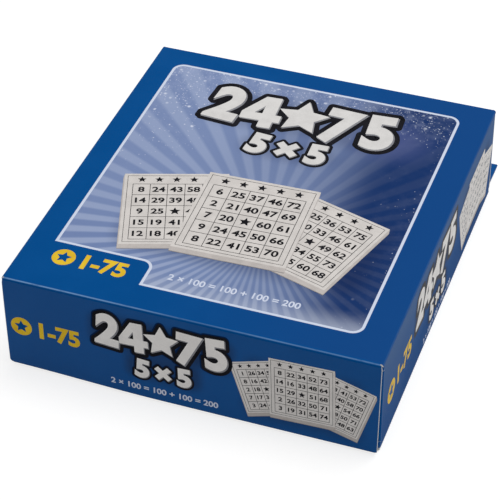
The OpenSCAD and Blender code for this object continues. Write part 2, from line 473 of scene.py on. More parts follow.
class Nodes:
    """Shorthand for the nodes of a material or a world."""

    def __init__(self, holder, shader):
        holder.use_nodes = True
        self.holder, self.tree = holder, holder.node_tree
        self.shader = self.tree.nodes[shader]

    def feed(self, socket, value):
        if isinstance(value, Reading):
            value = value.socket
        if isinstance(value, bpy.types.NodeSocket):
            self.tree.links.new(value, socket)
        else:
            socket.default_value = value

    def add(self, kind, values=None, **settings):
        """A new node. Values are fed to its sockets by name or number."""
        node = self.tree.nodes.new(f"ShaderNode{kind}")
        for setting, value in settings.items():
            setattr(node, setting, value)
        for socket, value in (values or {}).items():
            self.feed(node.inputs[socket], value)
        return node

    def sum(self, what, *values):
        return Reading(self, self.add("Math", dict(enumerate(values)), operation=what).outputs[0])


# %% Finishes


class Finish(Nodes):
    """A material, with places in millimetres."""

    def __init__(self, name):
        super().__init__(bpy.data.materials.new(name), "Principled BSDF")
        place = {0: self.add("TexCoord").outputs["Object"], "Scale": 1 / MM}
        self.place = self.add("VectorMath", place, operation="SCALE").outputs[0]
        split = self.add("SeparateXYZ", {0: self.place})
        self.x, self.y, self.z = (Reading(self, s) for s in split.outputs)

    def noise(self, grain, detail, stretch=None, rough=0.55):
        """Cloudy noise whose lumps are about grain millimetres across."""
        place = self.place
        if stretch:
            place = self.add("VectorMath", {0: place, 1: stretch}, operation="MULTIPLY").outputs[0]
        node = self.add("TexNoise", {"Vector": place, "Scale": 1 / grain, "Detail": detail,
                                     "Roughness": rough})
        return Reading(self, node.outputs["Fac"])

    def specks(self, grain):
        """Distance to scattered points, and two random numbers for each point."""
        node = self.add("TexVoronoi", {"Vector": self.place, "Scale": 1 / grain})
        split = self.add("SeparateColor", {0: node.outputs["Color"]})
        return (Reading(self, node.outputs["Distance"]) * grain,
                Reading(self, split.outputs[0]), Reading(self, split.outputs[1]))

    def mix(self, share, a, b):
        return self.add("Mix", {0: share, 6: a, 7: b}, data_type="RGBA").outputs[2]

    def box(self, u, v, low_u, high_u, low_v, high_v, r):
        """Distance to a box with round corners, less than nothing inside."""
        qu = (u - (low_u + high_u) / 2).size() - ((high_u - low_u) / 2 - r)
        qv = (v - (low_v + high_v) / 2).size() - ((high_v - low_v) / 2 - r)
        a, b = qu.most(0.0), qv.most(0.0)
        outside = (a * a + b * b).do("SQRT")
        return outside + qu.most(qv).least(0.0) - r

    def done(self, colour, rough, height, bump_mm, shine):
        """Colour, roughness, the height of a fine bump with its depth, and the shine."""
        sockets = self.shader.inputs
        self.feed(sockets["Base Color"], colour)
        self.feed(sockets["Roughness"], rough)
        sockets["Specular IOR Level"].default_value = shine
        if height is not None:
            bump = {"Strength": 1.0, "Distance": bump_mm * MM, "Height": height}
            self.feed(sockets["Normal"], self.add("Bump", bump).outputs[0])
        return self.holder


# %% [markdown]
# ## Bare board and raw edges
#
# The unprinted side of folding board is off-white, with grey and brown fibres lying along
# the grain. Its cut edge shows the layers: two pale liners and a greyer middle. Both are
# dull, so they need hardly any shine and a fine bump.

# %% Bare faces


def fibres(f, grain=0.5):
    """Two sets of short fibres that cross."""
    one = f.noise(grain, 4, (0.25, 1.6, 1.0))
    two = f.noise(grain * 0.8, 4, (1.5, 0.3, 1.2))
    return one * 0.5 + two * 0.5


def bare_board():
    f = Finish("bare inside of the board")
    strands = fibres(f)
    cloud = f.noise(9, 3)
    colour = f.mix(strands.rise(0.35, 0.65), paint(206, 202, 192), paint(224, 221, 213))
    colour = f.mix(cloud.rise(0.3, 0.75) * 0.5, colour, paint(213, 208, 196))
    dark = f.noise(0.35, 2, (0.3, 2.0, 1.0)).rise(0.70, 0.76)
    colour = f.mix(dark * 0.45, colour, paint(140, 128, 110))
    return f.done(colour, strands * 0.12 + 0.8, strands, 0.02, 0.2)


def raw_edge():
    f = Finish("raw cut edge of the board")
    layers, along = f.noise(0.16, 3), f.noise(2.5, 3)
    colour = f.mix(layers.rise(0.3, 0.7), paint(212, 210, 206), paint(240, 239, 236))
    colour = f.mix(along.rise(0.5, 0.85) * 0.4, colour, paint(178, 188, 204))
    return f.done(colour, layers * 0.1 + 0.82, layers, 0.03, 0.15)


BARE, RAW = bare_board(), raw_edge()
print("finishes:", BARE.name, "and", RAW.name)

# %% [markdown]
# The ink is offset print under a thin sealing varnish. Solid blue is never even: the ink
# mottles over a few millimetres, and the fibres under it show as the finest grain. The
# varnish is only half glossy, so what it reflects is soft. On the sides a greyer sheen is
# painted towards the top and painted shade towards the bottom. Where the board is folded
# the ink breaks and the pale board shows through in short lines, with a painted highlight
# along the fold's outer corner, and the creases near the table get painted shade.

# %% The blue ink, its worn folds, painted highlights and painted shade
WORN_INK_AND_HIGHLIGHT = paint(116, 156, 204)  # ink that a fold has stretched, and a painted highlight along the fold


def mottle(f, colour):
    """Ink that lies a little unevenly."""
    cloud, grain = f.noise(14, 4), f.noise(0.35, 3)
    colour = f.mix(cloud.rise(0.35, 0.7) * 0.16, colour, paint(22, 94, 164))
    return f.mix(grain.rise(0.45, 0.75) * 0.10, colour, paint(4, 56, 112))


def varnish(f, colour, gloss=0.34, shine=0.014):
    grain, wave = f.noise(0.45, 4), f.noise(11, 3)
    smear = f.noise(5, 4, (1.0, 0.3, 1.0))
    return f.done(colour, smear * 0.10 + (gloss - 0.04), grain * 0.3 + wave * 0.7, 0.03, shine)


def worn_line(f, near, along, colour, strength, width):
    """A thin pale line along a fold: stretched ink and a painted highlight. Near is the
    distance to it. Along stretches the noise, so that crumbs of worn ink are long in the
    line's own direction."""
    fade, crumbs = f.noise(9, 3, along), f.noise(0.8, 4, along)
    mask = (1.0 - near.rise(width * 0.4, width)) * (fade.rise(0.3, 0.62) * 0.5 + 0.5)
    mask = mask * (crumbs.rise(0.3, 0.5) * 0.45 + 0.55)
    return f.mix(mask * strength, colour, WORN_INK_AND_HIGHLIGHT)


def fold_print():
    """Print on the narrow strips that bend. A pale line lies on a fold's outer corner: worn ink
    and a painted highlight, brighter at the left.
    """
    f = Finish("blue print stretched along a fold")
    across, up = f.y.size() - (HALF_D - 0.30), f.z - (HIGH - 0.16)
    near = (across * across + up * up).do("SQRT")
    left = 1.0 - (f.x + 10.0).rise(-40, 50) * 0.4
    # the pale line on the fold's outer corner: worn ink and a painted highlight
    colour = worn_line(f, near, (0.3, 1.0, 1.0), mottle(f, BLUE), left, 0.31)
    # painted shade: the creases near the table are darkened where shade falls under them
    colour = f.mix((1.0 - f.z.rise(0.75, 1.1)) * 0.85, colour, paint(8, 14, 26))
    return varnish(f, colour, 0.36)


FOLD_PRINT = fold_print()
print("finish:", FOLD_PRINT.name)

# %% [markdown]
# ## The printed background
#
# The top carries a plain border round a picture field with a pale keyline. The field has
# rays and a dusting of bright specks, a common showy pattern, here round a centre of its
# own. Rays, keyline and specks are all distances and angles, so the shader draws them
# sharply at any size. The border turns the corner at the lower left round the numerals.

# %% Tone and rays of the top
ROUND = 3.0  # radius of the picture field's corners
FIELD_LEFT, FIELD_RIGHT, FIELD_FRONT, FIELD_BACK = -44.2, 43.2, -48.1, 49.5
TURN_X, TURN_Y = -16.3, -38.7  # the border turns the corner left of and below these
KEYLINE, SOFT = 0.39, 0.04  # half widths of the keyline and of its soft edge


def field_tone(f):
    """The field's blue, and how dark it is: pale at the left, deep at the right."""
    x, y = f.x, f.y
    over = x - (-20.0 - y).rise(0, 26) * 8 + f.noise(30, 2) * 9 - 4.5
    dark = over.rise(-28, 14) * 0.34 + over.rise(9, 31) * 0.66
    field = f.mix(dark, paint(136, 152, 190), paint(21, 50, 102))
    return f.mix((-y).rise(40, 50) * 0.82, field, paint(176, 185, 206)), dark


def with_rays(f, field, dark):
    """Rays round a point behind the pictured cards, fine below and broad above."""
    cx, cy, rays = 7.0, -19.0, 56
    x, y = f.x - cx, f.y - cy
    angle = f.sum("ARCTAN2", y, x)
    # a hundred whole rays more keep the number above nothing
    turns = (angle + (angle + math.pi / 2).do("SINE") * 0.28) * (rays / (2 * math.pi)) + 100.0
    wave = (turns.do("FRACT") - 0.5).size() * 2
    far = (x * x + y * y).do("SQRT")
    soft = f.sum("DIVIDE", 4.5, far + 1.0) + 0.2
    beam = ((wave - 0.5) / soft.least(0.9) + 0.5).most(0.0).least(1.0)
    fade = (1.0 - dark * 0.85) * ((-f.y).rise(14, 34) * 0.35 + 0.65)
    field = f.mix(beam * fade * 0.32, field, paint(184, 197, 224))
    field = f.mix((1.0 - beam) * fade * 0.34, field, paint(70, 102, 162))
    glow = (1.0 - far.rise(4, 40)) * (1.0 - dark)
    field = f.mix(glow * 0.3, field, paint(158, 176, 214))
    # a soft violet glow at the right of the large numerals
    x, y = f.x - 27.0, f.y - 33.0
    beside = (x * x + y * y * 1.4).do("SQRT")
    return f.mix((1.0 - beside.rise(2, 17)) * 0.3, field, paint(122, 130, 184))


# %% Specks, shade and keyline of the top


def with_specks(f, field):
    """Specks: dense along the back, thin down the right, a few at the left."""
    x, y = f.x, f.y
    upper = (y + f.noise(10, 4) * 24 - 12).rise(27, 48) * (1.0 - x.rise(24, 42) * 0.55)
    right = (x + f.noise(9, 4) * 40 - 20).rise(30, 52) * 0.24
    left = ((-18.0 - x).rise(0, 16) * (y + f.noise(12, 3) * 30 - 15).rise(-8, 24)) * 0.42
    dust = (upper + right + left).least(1.0)
    haze = dust * f.noise(3.4, 5, None, 0.7).rise(0.4, 0.72)
    field = f.mix(haze * 0.3, field, paint(172, 184, 216))
    for grain, share in ((0.55, 0.75), (1.0, 0.6), (2.2, 0.34), (5.0, 0.2)):
        near, pick, size = f.specks(grain)
        spot = 1.0 - near.rise(0.05 * grain, 0.34 * grain)
        chosen = (pick - (1.0 - (dust * 0.55 + haze * 0.6) * share)).rise(0.0, 0.05)
        field = f.mix(spot * chosen * (size * 0.55 + 0.45), field, paint(232, 237, 250))
    return field


def shaded(f, colour, u, v, shades, r, inner, dark):
    """Soft dark places behind print. Each has its box, its softness and its strength."""
    for *sides, soft, strength in shades:
        shade = f.box(u, v, *sides, r)
        colour = f.mix((1.0 - shade.rise(-inner, soft)) * strength, colour, dark)
    return colour


def framed(f, inside, field, line, border):
    """A field, a keyline round it and a border. Inside is less than nothing in the field."""
    near, far = KEYLINE - SOFT, KEYLINE + SOFT
    colour = f.mix(inside.rise(-far, -near), field, line)
    return f.mix(inside.rise(near, far), colour, border)


def top_print():
    f = Finish("printed top, rays and border")
    # painted sheen: the border is painted paler and greyer towards the right
    border = f.mix(f.x.rise(-30, 50) * 0.8, mottle(f, BLUE), paint(22, 71, 134))
    # a thin pale line along the top's side folds: worn ink and a painted highlight
    border = worn_line(f, (51.86 - f.x.size()).size(), (1.0, 0.3, 1.0), border, 0.12, 0.3)
    field = with_specks(f, with_rays(f, *field_tone(f)))
    field = shaded(f, field, f.x, f.y, TOP_SHADES, 4, 2.5, paint(24, 38, 78))
    panel = f.box(f.x, f.y, FIELD_LEFT, FIELD_RIGHT, FIELD_FRONT, FIELD_BACK, ROUND)
    turn = f.box(f.x, f.y, -90.0, TURN_X, -90.0, TURN_Y, ROUND)
    return varnish(f, framed(f, panel.most(-turn), field, paint(214, 222, 240), border))


# left, right, front, back, softness and strength of each shade, behind numerals and cards
TOP_SHADES = [(-26, 25, 27, 41, 4.5, 0.3), (-12, 13, 15, 23, 3.5, 0.34),
              (-29, 37, -33, -6, 5.5, 0.5)]
TOP_PRINT = top_print()
print(TOP_PRINT.name, "takes", len(TOP_PRINT.node_tree.nodes), "nodes")

# %% [markdown]
# The sides and the closures carry plain blue, with the same soft shade behind the
# numerals and the pictured cards. One function prints all four: it is told which way
# runs across, where the shades lie and what else lies on the blue: a chipped cut edge on
# the closures, and on the sides a painted sheen above, painted shade below and a pale line
# at each end that is worn ink and a painted highlight.

# %% Background of the sides and the closures
END_SHADES = [(-26, 11.5, -14, -5.5, 3.4, 0.62), (-16.5, 3, -22.3, -16, 2.8, 0.55),
              (17, 46, -25.5, -9, 4.0, 0.42)]
SIDE_SHADES = [(-24.5, 15.5, -16.5, -6.4, 3.4, 0.62), (-11.5, 7.5, -25, -20, 2.6, 0.55),
               (24, 50, -25, -8, 4.0, 0.42)]


def closure_wear(f, colour):
    """A hair of pale board along the cut, where the knife chipped the ink."""
    chipped = 1.0 - (CLOSURE_X - f.x.size()).rise(0.05, 0.14)
    return f.mix(chipped * 0.8, colour, paint(170, 186, 206))


def flank_wear(f, colour):
    """Painted sheen and shade on a side: the upper part is painted greyer as a sheen and the
    lower part darker as shade. A thin pale line at each end is worn ink and a painted
    highlight.
    """
    # patches in the painted sheen
    sheen_patchiness = f.noise(16, 3, (1.0, 0.5, 1.0)).rise(0.2, 0.8) * 0.3 + 0.85
    # painted shade: darker towards the table
    colour = f.mix((1.0 - f.z.rise(0, 16)) * 0.28, colour, paint(5, 60, 112))
    # painted sheen: greyer towards the top
    colour = f.mix(f.z.rise(4, 28) * sheen_patchiness * 0.19, colour, paint(135, 155, 170))
    # a thin pale line at each end: worn ink and a painted highlight
    return worn_line(f, (56.0 - f.y.size()).size(), (1.0, 1.0, 0.3), colour, 0.3, 0.3)


def side_print(name, across, shades, wear_and_painted_light, shine):
    f = Finish(f"printed {name}")
    # on the closures a chipped cut edge, on the sides painted sheen, painted shade and a highlight
    # line
    colour = wear_and_painted_light(f, mottle(f, BLUE))
    colour = shaded(f, colour, across(f), f.z - HIGH, shades, 2, 1.2, paint(8, 20, 44))
    return varnish(f, colour, shine=shine)


PRINTS = {name: side_print(*rest) for name, *rest in (
    ("front", "front closure", lambda f: f.x, END_SHADES, closure_wear, 0.09),
    ("rear", "rear closure", lambda f: -f.x, END_SHADES, closure_wear, 0.09),
    ("right", "right side", lambda f: f.y, SIDE_SHADES, flank_wear, 0.003),
    ("left", "left side", lambda f: -f.y, SIDE_SHADES, flank_wear, 0.003))}


def plain_print():
    f = Finish("plain blue print")
    return varnish(f, mottle(f, BLUE), shine=0.03)


def base_print():
    f = Finish("printed underside with a keyline")
    inside = f.box(f.x, f.y, FIELD_LEFT, -FIELD_LEFT, -FIELD_BACK, FIELD_BACK, ROUND)
    field = f.mix(0.5, mottle(f, BLUE), paint(8, 60, 122))
    return varnish(f, framed(f, inside, field, paint(196, 208, 232), mottle(f, BLUE)))


PLAIN_PRINT, BASE_PRINT = plain_print(), base_print()
print("prints:", list(PRINTS), PLAIN_PRINT.name, BASE_PRINT.name)

# %% [markdown]
# ## The carton's boards
#
# Now the flat outlines are cut and folded. The tube's five boards share their walk. The
# top board takes both of its folded side edges with it, and so does the bottom board.
# Between its corners the top stops a little shorter, where the closures' folds begin.

# %% Top, bottom and side panels
CLOSURE_STEP, SIDE_STEP, TOP_STEP, BASE_STEP = 2.9, 4.8, 6.0, 9  # between two cuts
BEND_STEP = ARC / 7


def bend_cuts(name):
    return even_steps(*TUBE[name], BEND_STEP)


def tube_board(name, outline, u_cuts, v_cuts, look, node, out=RECESS):
    board(name, outline, u_cuts, v_cuts, tube_shape, look, "carton", node, out)


TOP_U = even_steps(*TUBE["top"], TOP_STEP)
TOP_V = even_steps(-TOP_END, TOP_END, TOP_STEP)
left_edge, right_edge = TUBE["left_fold"][0], TUBE["right_fold"][1]
flat_left, flat_right = TUBE["top"]
top_outline = [
    (left_edge, -TUBE_END), (flat_left, -TUBE_END), (flat_left, -TOP_END),
    (flat_right, -TOP_END), (flat_right, -TUBE_END), (right_edge, -TUBE_END),
    (right_edge, TUBE_END), (flat_right, TUBE_END), (flat_right, TOP_END),
    (flat_left, TOP_END), (flat_left, TUBE_END), (left_edge, TUBE_END)]
tube_board("top_board", top_outline, bend_cuts("left_fold") + TOP_U + bend_cuts("right_fold"),
           TOP_V, TOP_PRINT, "top_panel")
SIDE_V = even_steps(-SIDE_END, SIDE_END, TOP_STEP)
for side in ("right", "left"):
    tube_board(f"{side}_board", oblong(*TUBE[side], -SIDE_END, SIDE_END),
               even_steps(*TUBE[side], SIDE_STEP), SIDE_V, PRINTS[side], f"{side}_panel")
base_u = even_steps(*TUBE["bottom"], BASE_STEP)
tube_board("bottom_board",
           oblong(TUBE["low_fold"][0], TUBE["seam_fold"][1], -TUBE_END, TUBE_END),
           bend_cuts("low_fold") + base_u + bend_cuts("seam_fold"),
           even_steps(-TUBE_END, TUBE_END, BASE_STEP), BASE_PRINT, "bottom_panel")
seam_low, seam_high = TUBE["seam"]
SEAM_TIP = 50.91  # the seam flap is cut back to here at its free edge
tube_board("seam_board", [(seam_low, -SEAM_END), (seam_low, SEAM_END),
                          (seam_high, SEAM_TIP), (seam_high, -SEAM_TIP)],
           even_steps(seam_low, seam_high, 4), [], PLAIN_PRINT, "seam_flap", 0.0)

# %% [markdown]
# Each closure is narrower than the carton by a hair, has a small relief notch at each
# upper corner, where three folds meet, and round lower corners. The right lower corner of
# the front closure is sharper than the left one. The front tuck flap is drawn in under
# strain, and its first millimetres belong to the crease's strip.

# %% Closures and tuck flaps
TUCK_LEFT, TUCK_RIGHT = -50.7, 51.2
NOTCH_X = 51.55  # half width of the board where it leaves the notch
FRONT_BEND = 6.0  # how much of the front tuck flap belongs to its crease's strip
FOLD_STEP = 0.14  # between two cuts of a fold


def fold_outline(end):
    """A closure's fold, which widens once it is clear of the tube's end."""
    return [(-FOLD_X, 0), (FOLD_X, 0), (FOLD_X, 0.6), (NOTCH_X, 0.9), (NOTCH_X, end),
            (-NOTCH_X, end), (-NOTCH_X, 0.9), (-FOLD_X, 0.6)]


def closure_outline(top, low, left_r, right_r):
    """Outline of a closure between its fold and its crease."""
    notch, lip = top + TANGENT, top + DROP - TANGENT
    return ([(-NOTCH_X, top), (NOTCH_X, top), (CLOSURE_X, notch)]
            + corner(CLOSURE_X, lip, right_r, 1, 1)
            + [(TUCK_RIGHT, lip), (TUCK_RIGHT, low), (TUCK_LEFT, low), (TUCK_LEFT, lip)]
            + corner(-CLOSURE_X, lip, left_r, -1, 1) + [(-CLOSURE_X, notch)])


def tuck_outline(low, high):
    return ([(TUCK_LEFT, low), (TUCK_RIGHT, low)] + corner(TUCK_RIGHT, high, 0.5, 1, 1)
            + corner(TUCK_LEFT, high, 0.5, -1, 1))


END_U = even_steps(-FOLD_X, FOLD_X, 2.95)
for end, line, shape, radii, bend in (
        ("front", FRONT, front_shape, (0.98, 0.35), FRONT_BEND),
        ("rear", REAR, rear_shape, (0.98, 0.48), 0.0)):
    fold, closure, crease = line["fold"], line["closure"], line["crease"]
    stiff = (line["tuck"][0] + bend, line["tuck"][1])
    bent = (crease[0], stiff[0])
    board(f"{end}_closure_board", closure_outline(*closure, *radii), END_U,
          even_steps(*closure, CLOSURE_STEP), shape, PRINTS[end],
          f"{end}_closure", f"{end}_closure")
    board(f"{end}_tuck_board", tuck_outline(*stiff), END_U, even_steps(*stiff, 4),
          shape, PLAIN_PRINT, f"{end}_tuck", f"{end}_tuck_flap")
    fold_strip(f"{end}_closure_fold_board", fold_outline(fold[1]), END_U,
               even_steps(*fold, FOLD_STEP), shape,
               [(0, fold[0]), (0, fold[1])])
    fold_strip(f"{end}_crease_board", oblong(TUCK_LEFT, TUCK_RIGHT, *bent), END_U,
               even_steps(*crease, 0.1) + even_steps(crease[1], bent[1], 0.5), shape,
               [(0, bent[0]), (0, bent[1])])
    print(f"{end} tuck flap: {stiff[1] - stiff[0]:.1f} mm of it stay flat")

# %% [markdown]
# A dust flap is tapered above, has a small shoulder below, and round free corners. Its
# fold is as high as its root and is a strip of its own.

# %% Dust flaps
DUST_LOW, DUST_HIGH = 3.24, 27.89
TAPER = math.tan(math.radians(22))
DUST_MIDDLE = 15
SHOULDER_WIDE, SHOULDER_HIGH, DUST_ROUND = 0.9, 1.5, 3
root_high, tip_high = (DUST_HIGH - far * TAPER for far in (FOLD_R, FOLD_R + DUST_FLAT))
root, tip = DUST["flap"]
dust_outline = (
    [(root, DUST_LOW), (root + SHOULDER_WIDE, DUST_LOW)]
    + corner(tip, DUST_LOW + SHOULDER_HIGH, DUST_ROUND, 1, -1)
    + corner(tip, tip_high, DUST_ROUND, 1, 1) + [(root, root_high)])
for name, shape in CORNERS:
    name = f"{name}_dust"
    board(f"{name}_board", dust_outline, even_steps(root, tip, 4), [], shape, PLAIN_PRINT,
          name, f"{name}_flap")
    fold_strip(f"{name}_fold_board",
               [(0, DUST_LOW), (ARC, DUST_LOW), (ARC, root_high), (0, DUST_HIGH)],
               even_steps(0, ARC, FOLD_STEP), [], shape,
               [(0, DUST_MIDDLE), (ARC, DUST_MIDDLE)])

# %% [markdown]
# Above and below each dust flap the side panel still starts to turn the corner before it
# is cut, because the whole corner was creased in one stroke. These short tongues don't
# move. They close the slit that would otherwise show raw board beside the closure.

# %% Creased tongues beside the dust flaps
TONGUE, CLEAR = ARC * 0.84, 0.06
for name, shape in CORNERS:
    for where, low, high in (("low", FOLD_R, DUST_LOW - CLEAR),
                             ("high", DUST_HIGH + CLEAR, HIGH - FOLD_R)):
        board(f"{name}_{where}_tongue", oblong(0, TONGUE, low, high),
              even_steps(0, TONGUE, FOLD_STEP), [], shape, PLAIN_PRINT, "carton")
print("tongues:", 2 * len(CORNERS))

# %% [markdown]
# ## Numbers in ink
#
# All lettering is plain numbers and signs. The digits come from Blender's own built-in
# font: a text object becomes a flat mesh, and an offset makes it bolder. Each shape of ink
# is a flat film a hundredth of a millimetre above the next, is cut along the same lines as
# the board under it, and takes the same walk, so it lies on the sagging board everywhere.

# %% Flat shapes
glyph_store = {}


def glyphs(text, bold=0.0, detail=4):
    """Points and faces of a line of digits, one unit high, centred."""
    key = (text, bold, detail)
    if key not in glyph_store:
        curve = bpy.data.curves.new("digits", "FONT")
        curve.body, curve.offset, curve.resolution_u = text, bold, detail
        holder = show("digits", curve)
        bpy.context.view_layer.update()
        dg = bpy.context.evaluated_depsgraph_get()
        mesh = bpy.data.meshes.new_from_object(holder.evaluated_get(dg))
        points = [(v.co.x, v.co.y) for v in mesh.vertices]
        faces = [list(p.vertices) for p in mesh.polygons]
        for data, owner in ((holder, bpy.data.objects), (curve, bpy.data.curves),
                            (mesh, bpy.data.meshes)):
            owner.remove(data)
        glyph_store[key] = (points, faces)
    return glyph_store[key]


CAP = max(y for _, y in glyphs("1")[0])
print("digit height in the font:", round(CAP, 3))


def placed(points, faces, u, v, scale=1.0, turn=0.0, squeeze=1.0):
    c, s = math.cos(math.radians(turn)), math.sin(math.radians(turn))
    return [(u + scale * (squeeze * x * c - y * s), v + scale * (squeeze * x * s + y * c))
            for x, y in points], faces


def numerals(text, u, v, height, turn=0.0, bold=0.0, squeeze=1.0, detail=4):
    points, faces = glyphs(text, bold, detail)
    plain = glyphs(text, 0.0, detail)[0]
    mid = (min(x for x, _ in plain) + max(x for x, _ in plain)) / 2
    points = [(x - mid, y - CAP / 2) for x, y in points]
    return placed(points, faces, u, v, height / CAP, turn, squeeze)


def oblong_shape(u, v, wide, high, turn=0.0):
    w, h = wide / 2, high / 2
    return placed(oblong(-w, w, -h, h), [[0, 1, 2, 3]], u, v, 1, turn)


def star_shape(u, v, r, turn=0.0, waist=0.45):
    ring = []
    for i in range(10):
        t = math.pi / 2 + i * math.pi / 5
        k = r * waist if i % 2 else r
        ring.append((k * math.cos(t), k * math.sin(t)))
    rays = [[0, 1 + i, 1 + (i + 1) % 10] for i in range(10)]
    return placed([(0, 0)] + ring, rays, u, v, 1, turn)


def disc_shape(u, v, r, count=28):
    turns = [2 * math.pi * i / count for i in range(count)]
    return placed([(r * math.cos(t), r * math.sin(t)) for t in turns], [list(range(count))], u, v)


# %% [markdown]
# A printing press lays one colour after the other. The page below does the same: it
# collects flat shapes by ink and by film, then makes one mesh for each printed face.

# %% Inks


def ink(name, main, other, gloss=0.36):
    f = Finish(name)
    cloud, grain = f.noise(3.5, 3), f.noise(0.3, 3)
    colour = f.mix((cloud * 0.6 + grain * 0.4).rise(0.38, 0.66), paint(*main), paint(*other))
    return varnish(f, colour, gloss)


INKS = {
    "white": ink("white ink", (246, 243, 240), (236, 233, 231)),
    "chalk": ink("softer white ink", (225, 223, 221), (214, 212, 210)),
    "grey": ink("grey ink", (150, 150, 154), (126, 127, 134)),
    "black": ink("black ink", (20, 20, 24), (32, 32, 38)),
    "yellow": ink("yellow ink", (240, 202, 58), (226, 184, 46)),
    "sheet": ink("printed paper grey", (222, 217, 213), (210, 205, 201)),
    "leaf": ink("printed paper, paler", (231, 227, 224), (220, 216, 213)),
    "edge": ink("printed pad edge", (200, 193, 189), (186, 180, 176)),
    "brink": ink("printed lower brink", (150, 145, 144), (168, 162, 160)),
    "pale": ink("pale blue ink", (218, 225, 242), (204, 213, 234)),
    "deep": ink("deep blue ink", (6, 34, 72), (8, 40, 82)),
    "blue": ink("blue ink", (2, 77, 143), (6, 82, 150)),
}
INK_ORDER = list(INKS)
print("inks:", INK_ORDER)

# %% A page of print


def fill(bm, points, faces, height, tint=0, scale=1.0):
    """Puts a flat shape in a mesh, at a height and in one finish."""
    verts = [bm.verts.new((x * scale, y * scale, height * scale)) for x, y in points]
    for f in faces:
        if len(set(f)) > 2:
            bm.faces.new([verts[i] for i in f]).material_index = tint


class Page:
    """Everything printed on one face, in the face's own across and up."""

    def __init__(self, name, body, shape, u_cuts, v_cuts):
        self.name, self.body, self.shape = name, body, shape
        self.cuts, self.films = (u_cuts, v_cuts), []

    def lay(self, colour, film, *shapes):
        """Shapes laid together lie a fiftieth of a film apart, so neighbours share no plane."""
        for i, shape in enumerate(shapes):
            self.films.append((*shape, film + 0.02 * (i % 12), INK_ORDER.index(colour)))

    def press(self):
        bm = bmesh.new()
        for film in self.films:
            fill(bm, *film)
        cut(bm, *self.cuts, 1e-6)
        for v in bm.verts:
            p, n = self.shape(v.co.x, v.co.y)
            v.co = (p + (v.co.z * INK_STEP - RECESS) * n) * MM
        piece = show(self.name, bm, INKS.values(), self.body)
        print(f"{self.name}: {len(piece.data.polygons)} faces of ink")


# %% [markdown]
# ## Pictured cards
#
# The print of such a carton shows what is in it. Here it is a fan of number cards: five
# columns of five, a star in the middle, and each column with its usual run of fifteen
# numbers. The numbers are drawn by a seeded chance, so they come out the same each time.

# %% A pictured card


def card_numbers(seed):
    draw = random.Random(seed)
    return [draw.sample(range(15 * c + 1, 15 * c + 16), 5) for c in range(5)]


def lay_card(page, film, u, v, wide, turn, seed, drop, inks):
    """A pad seen from above: its sheet, its lower edge, its grid and its numbers."""
    sheet, rule, line = inks
    high, cell = wide * 1.06, wide * 0.166
    c, s = math.cos(math.radians(turn)), math.sin(math.radians(turn))

    def spot(x, y):
        return u + x * c - y * s, v + x * s + y * c

    corners = [spot(x, y) for x, y in oblong(-wide / 2, wide / 2, -high / 2, high / 2)]
    page.lay(sheet, film, (corners, [[0, 1, 2, 3]]))
    slip = Vector((0.14 * drop, -drop))
    for i in range(4):
        a, b = Vector(corners[i]), Vector(corners[(i + 1) % 4])
        if (b - a).cross(slip) < -0.02 * wide * drop:
            for tone, near, far in (("edge", 0.0, 0.86), ("brink", 0.86, 1.0)):
                near, far = slip * near, slip * far
                band = [tuple(p) for p in (a + far, b + far, b + near, a + near)]
                page.lay(tone, film, (band, [[0, 1, 2, 3]]))
    middle, thin = -wide * 0.045, max(0.12, wide * 0.0055)
    half_u, half_v, hair = wide * 0.468, high * 0.47, thin * 0.8
    for sign in (-1, 1):
        page.lay(rule, film + 1,
                 oblong_shape(*spot(sign * half_u, 0), hair, 2 * half_v + hair, turn),
                 oblong_shape(*spot(0, sign * half_v), 2 * half_u + hair, hair, turn))
    for i in range(6):
        at = (i - 2.5) * cell
        page.lay(rule, film + 1, oblong_shape(*spot(at, middle), thin, 5 * cell, turn),
                 oblong_shape(*spot(0, middle + at), 5 * cell, thin, turn))
    for col, numbers in enumerate(card_numbers(seed)):
        x = (col - 2) * cell
        page.lay(line, film + 1, star_shape(*spot(x, middle + 2.92 * cell), cell * 0.27, turn))
        for row, number in enumerate(numbers):
            where = spot(x, middle + (2 - row) * cell)
            page.lay(line, film + 1, star_shape(*where, cell * 0.34, turn) if row == col == 2
                     else numerals(str(number), *where, cell * 0.43, turn, 0.03, 1.2))


# %% [markdown]
# Large numerals stand in white over a grey lower edge and a thick black outline, as on a
# game's lid. Each digit has its own tilt, so the line looks lively. The outline is the
# digit grown on all sides, by a strip along each rim edge and a disc at each rim point,
# which gives it round corners. On plain blue a wider one in dark blue softens it into the
# printed shade behind. The 4 is given point by point, because the font's own loses its eye
# when it is made this bold.

# %% Large numerals
BOLD = 0.055
TILTS = (-4, 3, 2, -3, 4)
LIFTS = (0.02, -0.03, 0.03, -0.02, 0.03)
FOUR = ([(-0.02, -0.5), (0.27, -0.5), (0.27, -0.29), (0.41, -0.29), (0.41, -0.06),
         (0.27, -0.06), (0.27, 0.5), (-0.08, 0.5), (-0.47, -0.07), (-0.47, -0.29),
         (-0.02, -0.29), (-0.19, -0.06), (-0.02, -0.06), (-0.02, 0.19)],
        [[0, 1, 2, 10], [10, 2, 3, 4, 5, 12, 11, 8, 9], [12, 5, 6, 13],
         [13, 6, 7], [8, 11, 13, 7]])


def grown(shape, r):
    """A shape grown by r all round: a strip along each rim edge, a disc at each rim point."""
    points, faces = shape
    edges = {edge for face in faces for edge in zip(face, face[1:] + face[:1])}
    more = []
    for a, b in sorted(edge for edge in edges if edge[::-1] not in edges):
        p, q = Vector(points[a]), Vector(points[b])
        if (q - p).length < 1e-4:
            continue
        side = Vector((q.y - p.y, p.x - q.x)).normalized() * r
        more.append(([tuple(c) for c in (p + side, q + side, q, p)], [[0, 3, 2, 1]]))
        more.append(disc_shape(p.x, p.y, r, 24))
    return [shape] + more


